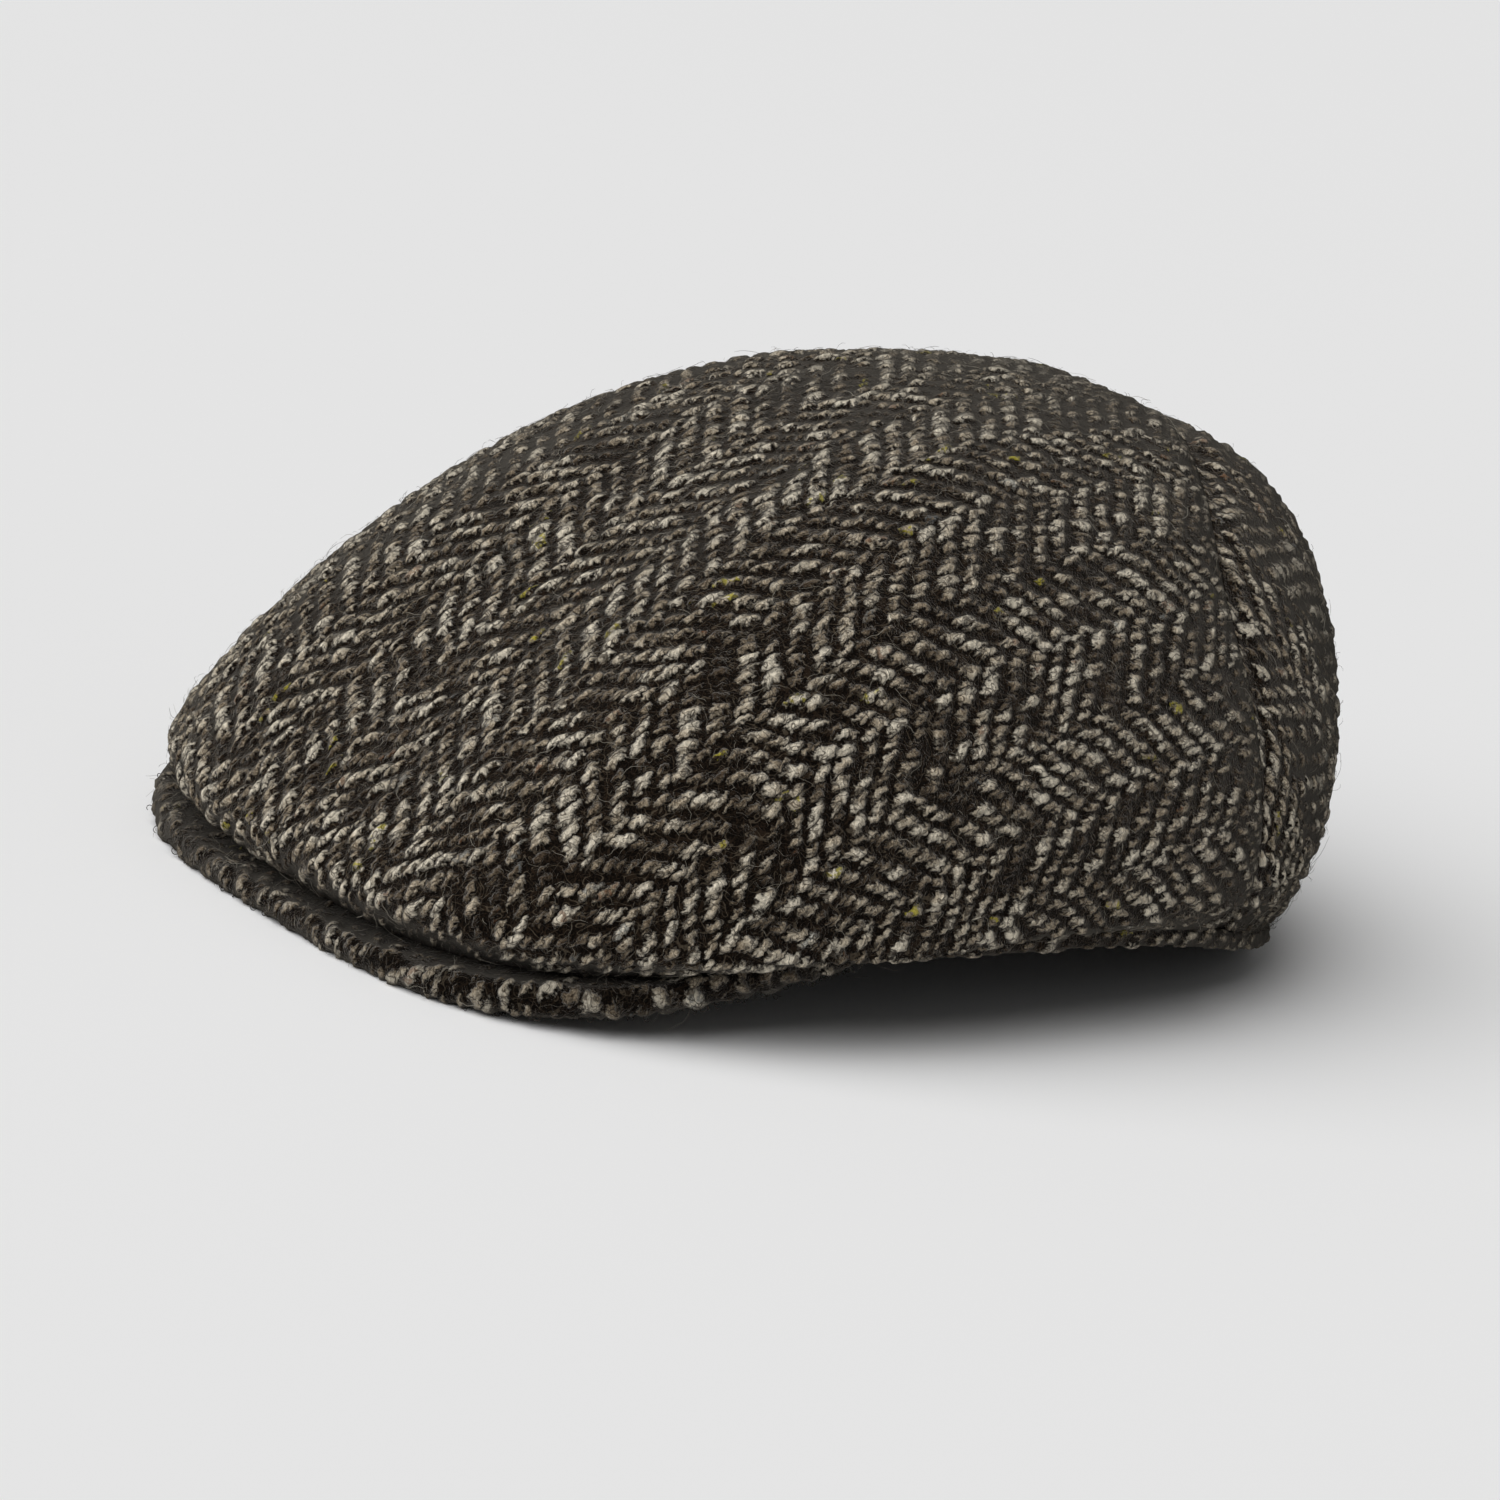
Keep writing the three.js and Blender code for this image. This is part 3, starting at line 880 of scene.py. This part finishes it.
def panel_form(rows, columns, back):
    """A panel's smooth outer face, the row of each point, and how far it is from the lower rim and
    from the seam."""
    p = np.linspace(-1, 1, columns + 1)
    seam = seam_place(p)
    share = np.linspace(0, 1, rows + 1)[:, None]
    if back:
        q = seam + share * (1 - seam)
    else:
        q = -1 + share * (seam + 1)
    direction, row = crown_places(np.broadcast_to(p, q.shape), q)
    smooth = crown_point(direction, row)
    smooth = smooth - grid_normals(smooth) * dent_at(direction, row)[..., None]
    run = run_along(smooth, 0)
    from_seam = run if back else run[-1] - run
    normal = grid_normals(smooth)
    smooth = smooth - normal * (SEAM_DIP * fading(from_seam, SEAM_REACH))[..., None]
    from_rim = np.clip(row, 0, 1) * HEIGHT * section("bulge", direction)
    above_peak = place_of(direction) < CREASE_ENDS_AT
    pull = CREASE_PULL * fading(from_rim, CREASE_REACH) * above_peak
    pull = pull + RIM_ROLL * fading(from_rim, RIM_ROLL_REACH)
    smooth[..., :2] -= normal[..., :2] * pull[..., None]
    smooth[..., 2] -= RIM_SINK * fading(from_rim, RIM_SINK_REACH)
    return smooth, row, from_rim, from_seam


def crown_panel(name, rows, columns, back, materials):
    """One panel. back says on which side of the seam it lies. Returns the piece, and the points and
    normals of its outer face."""
    smooth, row, from_rim, from_seam = panel_form(rows, columns, back)
    coarse_chart = lay_flat(smooth[::CHART_EVERY, ::CHART_EVERY])
    flat_size = np.ptp(coarse_chart.reshape(-1, 2), axis=0)
    print(name, "laid flat, mm:", flat_size.round().tolist())
    chart = spread_chart(coarse_chart, rows + 1, columns + 1)
    if back:
        chart = chart + np.array([0.0, BACK_CHART_START])
    weave = with_slubs(wander(chart))
    # Painted shade along the lower rim: the slub is lowered there, which makes the floats thinner and lower
    # and their colour darker.
    weave[..., 2] -= RIM_THINNING_AND_SHADE * fading(from_rim, RIM_REACH)
    normal = grid_normals(smooth)
    flatter = 1 - SEAM_FLATTENS * fading(from_seam, SEAM_FLAT_REACH)
    outer = smooth + normal * (relief(weave) * flatter)[..., None]
    keep = (slice(None, None, INNER_EVERY), slice(None, None, INNER_EVERY))
    inner = smooth[keep] - normal[keep] * CROWN_WALL
    lowest = np.broadcast_to(row[keep] < 1e-6, inner.shape[:2])
    inner[..., 2] = np.where(lowest, smooth[keep][..., 2], inner[..., 2])

    points = np.concatenate([outer.reshape(-1, 3), inner.reshape(-1, 3)])
    weave = np.concatenate([weave.reshape(-1, 3), weave[keep].reshape(-1, 3)])
    faces, first_inner = two_faces(outer.shape[:2], inner.shape[:2])
    made = make_piece(name, points, faces, {"weave": weave}, materials, first_inner)
    return made, outer, normal


crown, crown_outer, crown_normal = crown_panel(
    "crown_cloth", rows=256, columns=352, back=False, materials=[crown_tweed, inside_wool]
)
back, back_outer, back_normal = crown_panel(
    "back_cloth", rows=120, columns=256, back=True, materials=[back_tweed, inside_wool]
)
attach(crown, "root")
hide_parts("crown_main")
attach(back, "root")
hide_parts("crown_back")

# %% [markdown]
# ## The peak
#
# The peak is a stiff crescent covered in the same tweed on both faces: a closed section carried from
# corner to corner, along the underside, round the front lip and back over the top. Only a strip of its top
# shows in front of the crown's nose. The cloth is thicker where it rolls round the lip, most of all
# halfway to the corners, and flat where it goes into the crease under the crown. Its colour is painted
# darker all over as painted shade, and darker still in that crease, where the floats are also thinner.

# %% Peak
PEAK_COLUMNS = 288
OVER_ROWS = 44
LIP_ROWS = 7
UNDER_ROWS = 46
LIP_ENDS = OVER_ROWS + LIP_ROWS
SEEN_ROWS = LIP_ENDS + 5
PEAK_RELIEF = 0.9
LIP_ROLL = 1.9
LIP_ROLL_REACH = 5.0
CREASE_STARTS = 5.0
CORNER_GAP = 0.004


def even_directions(first, last, count, distance):
    """Directions from first to last that share out the length of the line at a distance inside."""
    fine = np.linspace(first, last, 4001)
    x, y = inside(fine, distance)
    run = run_of(np.diff(x), np.diff(y))
    return np.interp(np.linspace(0, run[-1], count), run, fine)


def peak_grid():
    """Points of the peak's skin, one row for each step of the section and one column for each
    direction, with the chart beside. Half a circle of radius half the thickness rounds the lip."""
    direction = even_directions(-CORNER + CORNER_GAP, CORNER - CORNER_GAP, PEAK_COLUMNS, 1.0)
    tuck = TUCK_IN * section("tuck", direction)
    edge_at = inside(direction, tuck - STRIP_WIDTH * section("strip", direction))
    tip_x, tip_y = inside(CORNER, TUCK_IN * section("tuck", CORNER) + HEM_THICKNESS)
    bend = direction / CORNER * np.pi / 2
    back_x = tip_x * np.sin(bend)
    back_y = tip_y + (-LENGTH / 2 + PEAK_DEPTH - tip_y) * np.cos(bend)
    width = np.hypot(back_x - edge_at[0], back_y - edge_at[1])
    thickness = peak_thickness(direction)
    lip = thickness / 2 * 0.8
    over = np.linspace(0, 1, OVER_ROWS) ** 1.5
    turn = np.linspace(np.pi / 2, -np.pi / 2, LIP_ROWS + 2)[1:-1]
    under = np.linspace(0, 1, UNDER_ROWS)
    depth = np.concatenate([
        lip + (width - lip) * over[::-1, None],
        lip * (1 - np.cos(turn))[:, None],
        lip + (width - lip) * under[:, None],
    ])
    level = np.concatenate([np.ones(OVER_ROWS), (1 + np.sin(turn)) / 2, np.zeros(UNDER_ROWS)])[:, None]
    share = depth / width
    x = edge_at[0] + (back_x - edge_at[0]) * share
    y = edge_at[1] + (back_y - edge_at[1]) * share
    z = peak_underside(x, y) + thickness * level
    points = np.stack([x, y, z], -1)
    chart = np.stack([x, np.where(np.arange(len(level))[:, None] < LIP_ENDS, y, -y)], -1)
    outwards = np.stack([edge_at[0] - back_x, edge_at[1] - back_y], -1) / width[:, None]
    rolled = run_along(points, 0)
    rolled = rolled[OVER_ROWS:LIP_ENDS] - rolled[OVER_ROWS - 1]
    chart[OVER_ROWS:LIP_ENDS] = chart[OVER_ROWS - 1] + outwards * rolled[..., None]
    return points, chart, depth, level


peak_smooth, peak_chart, peak_depth, peak_level = peak_grid()
print("peak, mm:", np.ptp(peak_smooth[..., 0]).round(1), "by", np.ptp(peak_smooth[..., 1]).round(1))
peak_weave = with_slubs(wander(peak_chart)).transpose(1, 0, 2)
# Painted shade in the crease under the crown: behind the visible strip the slub of the top face is lowered,
# which makes the floats thinner and lower and their colour darker.
crease_shade = np.clip((peak_depth - CREASE_STARTS) / CREASE_STARTS, 0, 1) * peak_level
peak_weave[..., 2] = peak_weave[..., 2] * 1.5 - 0.45 - crease_shade.T
roll_share = 0.3 + 0.7 * np.sin(np.linspace(0, 2 * np.pi, PEAK_COLUMNS)) ** 2
peak_loop = peak_smooth.transpose(1, 0, 2)
peak_normal = grid_normals(peak_loop)
peak_roll = LIP_ROLL * fading(peak_depth.T, LIP_ROLL_REACH) * roll_share[:, None]
peak_roll = peak_roll * (0.5 + 0.5 * peak_level.T)
peak_height = PEAK_RELIEF * relief(peak_weave) + peak_roll
peak_outer = peak_loop + peak_normal * peak_height[..., None]
peak_outer[..., 2] = np.maximum(peak_outer[..., 2], 0.03)
peak = sleeve("peak_cloth", peak_outer, peak_weave, peak_tweed)
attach(peak, "root")
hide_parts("peak")

# %% [markdown]
# ## The hem
#
# Round the sides and the back the cloth's lower edge is folded up and sewn, which leaves a narrow soft
# roll under the crown, from one corner of the peak round the back to the other.

# %% Hem
HEM_COLUMNS = 440
HEM_AROUND = 22
HEM_PUFF = 0.9
HEM_OVERLAP = 0.5
HEM_RELIEF = 0.7
HEM_CHART_START = 3.0


def squarish(x):
    """A sine or cosine pushed outwards, which turns a circle into |x|^3 + |y|^3 = 1."""
    return np.sign(x) * np.abs(x) ** (2 / 3)


def hem_grid():
    """Points of the hem: a squarish oval carried along under the crown's edge. The section starts on
    the inside, where the chart's two ends meet. The grid's own normals look inwards."""
    starts = CORNER + CORNER_GAP
    direction = even_directions(starts, 2 * np.pi - CORNER - CORNER_GAP, HEM_COLUMNS, TUCK_IN)
    tuck = TUCK_IN * section("tuck", direction)
    foot = corner_height * section("lift", direction)
    angle = np.linspace(-np.pi, np.pi, HEM_AROUND, endpoint=False)
    wide = squarish(np.cos(angle))
    tall = squarish(np.sin(angle))
    depth = tuck[:, None] - HEM_PUFF + (HEM_THICKNESS + HEM_PUFF) / 2 * (1 - wide[None, :])
    x, y = inside(direction[:, None], depth)
    z = foot[:, None] + (HEM_HEIGHT + HEM_OVERLAP) / 2 * (1 + tall[None, :])
    points = np.stack([x, y, z], -1)
    round_way = run_of(np.diff(wide) * HEM_THICKNESS / 2, np.diff(tall) * HEM_HEIGHT / 2)
    along = run_along(points, 0)[:, HEM_AROUND // 2, None]
    return points, np.stack(np.broadcast_arrays(round_way + HEM_CHART_START, along), -1)


hem_smooth, hem_chart = hem_grid()
print("hem laid flat, mm:", np.ptp(hem_chart.reshape(-1, 2), axis=0).round(1).tolist())
hem_weave = with_slubs(wander(hem_chart))
hem_normal = -grid_normals(hem_smooth, closed=True)
hem_outer = hem_smooth + hem_normal * (HEM_RELIEF * relief(hem_weave))[..., None]
hem_outer[..., 2] = np.maximum(hem_outer[..., 2], 0.02)
hem = sleeve("hem_cloth", hem_outer, hem_weave, hem_tweed, inside_out=True)
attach(hem, "root")
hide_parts("hem_band")

# %% [markdown]
# ## Stray fibres
#
# Wool is never shorn clean. Single fibres lie over the cloth and stand off its edges, and that haze makes
# tweed look soft. Long ones lie nearly flat, and the nap is short ones that stand up. Each is a thin
# three-sided tube along a bent line that starts on the cloth, so that thousands stay small enough to keep.

# %% Stray fibres
FIBRE_COUNT = 5200
FIBRE_STEPS = 6
NAP_COUNT = 8000
NAP_STEPS = 4
CLEAR_OF_GROUND = 0.1


def tubes(paths, radius, tone):
    """Three-sided tubes, tapered to their ends, along many paths at once. paths is (tubes, points, 3).
    A ring is the path's point plus radius times two directions square to the path."""
    count, steps = paths.shape[:2]
    along = unit(np.gradient(paths, axis=1))
    helper = np.where(np.abs(along[..., 2:3]) < 0.9, [[[0.0, 0.0, 1.0]]], [[[1.0, 0.0, 0.0]]])
    first = unit(np.cross(along, helper))
    second = np.cross(along, first)
    turn = np.arange(3) * 2 * np.pi / 3
    taper = np.sin(np.linspace(0.12, 0.88, steps) * np.pi) ** 0.5
    thick = (radius[:, None] * taper)[..., None, None]
    ring = first[:, :, None] * np.cos(turn)[:, None] + second[:, :, None] * np.sin(turn)[:, None]
    points = paths[:, :, None] + ring * thick
    number = np.arange(count * steps * 3).reshape(count, steps, 3)
    beside = np.roll(number, -1, axis=2)
    sides = np.stack([number[:, :-1], beside[:, :-1], beside[:, 1:], number[:, 1:]], -1).reshape(-1, 4)
    ends = np.concatenate([number[:, 0, ::-1], number[:, -1]])
    tones = np.repeat(tone, steps * 3)
    return points.reshape(-1, 3), sides.tolist() + ends.tolist(), tones


def stray_paths(points, normals, count, steps, longest, highest, seed):
    """Bent lines that start on the cloth: along a random way in its plane, lifted and then falling
    back, and curving to one side with the square of the distance. Those that would reach through the
    ground are left out."""
    dice = np.random.default_rng(seed)
    chosen = dice.integers(0, len(points), count)
    base = points[chosen]
    up = normals[chosen]
    way = unit(np.cross(up, dice.normal(size=(count, 3))))
    side = np.cross(up, way)
    length = dice.uniform(longest / 4, longest, (count, 1, 1))
    lift = highest * dice.random((count, 1, 1)) ** 2 + 0.03
    bend = dice.normal(0, 0.38, (count, 1, 1))
    t = np.linspace(0, 1, steps)[None, :, None]
    wave = bend * t * t + 0.06 * np.sin(9 * t + 6 * bend)
    paths = base[:, None] + length * (
        way[:, None] * t + side[:, None] * wave + up[:, None] * (lift * (1.6 * t - t * t))
    )
    return paths[paths[..., 2].min(axis=1) > CLEAR_OF_GROUND]


def wool_piece(name, paths, thin, thick, palest, seed):
    """A piece of fibres along the paths, each of its own thickness and tone."""
    dice = np.random.default_rng(seed)
    radius = dice.uniform(thin, thick, len(paths))
    points, faces, tones = tubes(paths, radius, dice.random(len(paths)) * palest)
    made = make_piece(name, points, faces, {"tone": tones}, [loose_wool])
    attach(made, "root")


def fibre_finish(name):
    """Single wool fibres, from nearly black to pale grey by the attribute tone."""
    wool = Finish(name)
    tone = wool.node("ShaderNodeAttribute", {"attribute_name": "tone"}, out="Fac")
    stops = [(0.0, colour(24, 19, 15)), (0.6, colour(74, 66, 56)), (1.0, colour(172, 166, 152))]
    shade = wool.node("ShaderNodeValToRGB", {"stops": stops}, {0: tone})
    sockets = {"Base Color": shade, "Roughness": 0.7, "Specular IOR Level": 0.3}
    surface = wool.node("ShaderNodeBsdfPrincipled", None, sockets)
    return wool.done(surface)


loose_wool = fibre_finish("loose_wool")
skins = [crown_outer, back_outer, peak_outer[:, :SEEN_ROWS]]
places = np.concatenate([skin.reshape(-1, 3) for skin in skins])
skin_normals = [crown_normal, back_normal, peak_normal[:, :SEEN_ROWS]]
ways_up = np.concatenate([normals.reshape(-1, 3) for normals in skin_normals])
paths = stray_paths(places, ways_up, FIBRE_COUNT, FIBRE_STEPS, longest=6.5, highest=0.42, seed=5)
wool_piece("stray_fibres", paths, thin=0.028, thick=0.05, palest=1.0, seed=6)
paths = stray_paths(places, ways_up, NAP_COUNT, NAP_STEPS, longest=2.4, highest=1.3, seed=15)
wool_piece("nap", paths, thin=0.025, thick=0.045, palest=1.0, seed=16)

# %% [markdown]
# ## Loops on the peak's edge
#
# Along the lower edge of the peak, where the cloth is folded hardest, ends of the dark yarn have worked
# loose and curl out as small loops.

# %% Edge loops
LOOP_COUNT = 420
LOOP_STEPS = 11


def loop_paths(count, seed):
    """Open rings: from a point of the lip, out along the edge's own normal and round by most of a
    turn, with the ring's plane turned at random."""
    dice = np.random.default_rng(seed)
    column = dice.integers(4, PEAK_COLUMNS - 4, count)
    row = dice.integers(OVER_ROWS + 3, SEEN_ROWS, count)
    base = peak_outer[column, row]
    out = peak_normal[column, row]
    way = unit(np.cross(out, dice.normal(size=(count, 3))))
    radius = dice.uniform(0.35, 0.95, (count, 1, 1))
    wound = dice.uniform(0.8, 1.15, (count, 1, 1))
    turn = np.linspace(-0.5, 1.0, LOOP_STEPS)[None, :, None] * wound * np.pi
    middle = base[:, None] + out[:, None] * radius * 0.6
    paths = middle + radius * (out[:, None] * np.sin(turn) + way[:, None] * np.cos(turn))
    return paths[paths[..., 2].min(axis=1) > CLEAR_OF_GROUND]


paths = loop_paths(LOOP_COUNT, seed=8)
wool_piece("edge_loops", paths, thin=0.07, thick=0.13, palest=0.35, seed=9)

# %% [markdown]
# ## Floor and light
#
# The photograph has a plain pale ground and one broad soft light from above and in front, a little to the
# left. A sun with a very wide disc gives that light evenly over the whole floor, and a faint pale sky
# fills the shadows.


# %% Floor
def floor_finish(name):
    """Pale matt paper, with a trace of unevenness."""
    paper = Finish(name)
    spot = paper.node("ShaderNodeTexCoord", out="Object")
    shade = paper.mix(paper.noise(spot, 3.0), (0.92, 0.92, 0.92, 1.0), (0.93, 0.93, 0.93, 1.0))
    sockets = {"Base Color": shade, "Roughness": 0.9, "Specular IOR Level": 0.1}
    surface = paper.node("ShaderNodeBsdfPrincipled", None, sockets)
    return paper.done(surface)


FLOOR_RADIUS = 12000
FLOOR_SIDES = 64
angle = np.linspace(0, 2 * np.pi, FLOOR_SIDES, endpoint=False)
ring = np.stack([FLOOR_RADIUS * np.cos(angle), FLOOR_RADIUS * np.sin(angle), 0 * angle], -1)
ground = make_piece("ground", ring, [list(range(FLOOR_SIDES))], {}, [floor_finish("pale_paper")])

# %% Light
key_data = bpy.data.lights.new("key", "SUN")
key_data.energy = 2.72
key_data.angle = math.radians(74)
key = add_object("key", key_data)
key.rotation_mode = "QUATERNION"
key.rotation_quaternion = toward(math.radians(-8), math.radians(54)).to_track_quat("Z", "Y")

world = bpy.data.worlds.new("sky")
world.use_nodes = True
sky = world.node_tree.nodes["Background"]
sky.inputs["Color"].default_value = (1.0, 1.0, 1.0, 1.0)
sky.inputs["Strength"].default_value = 0.15
bpy.context.scene.world = world
bpy.context.scene.view_settings.view_transform = "Standard"
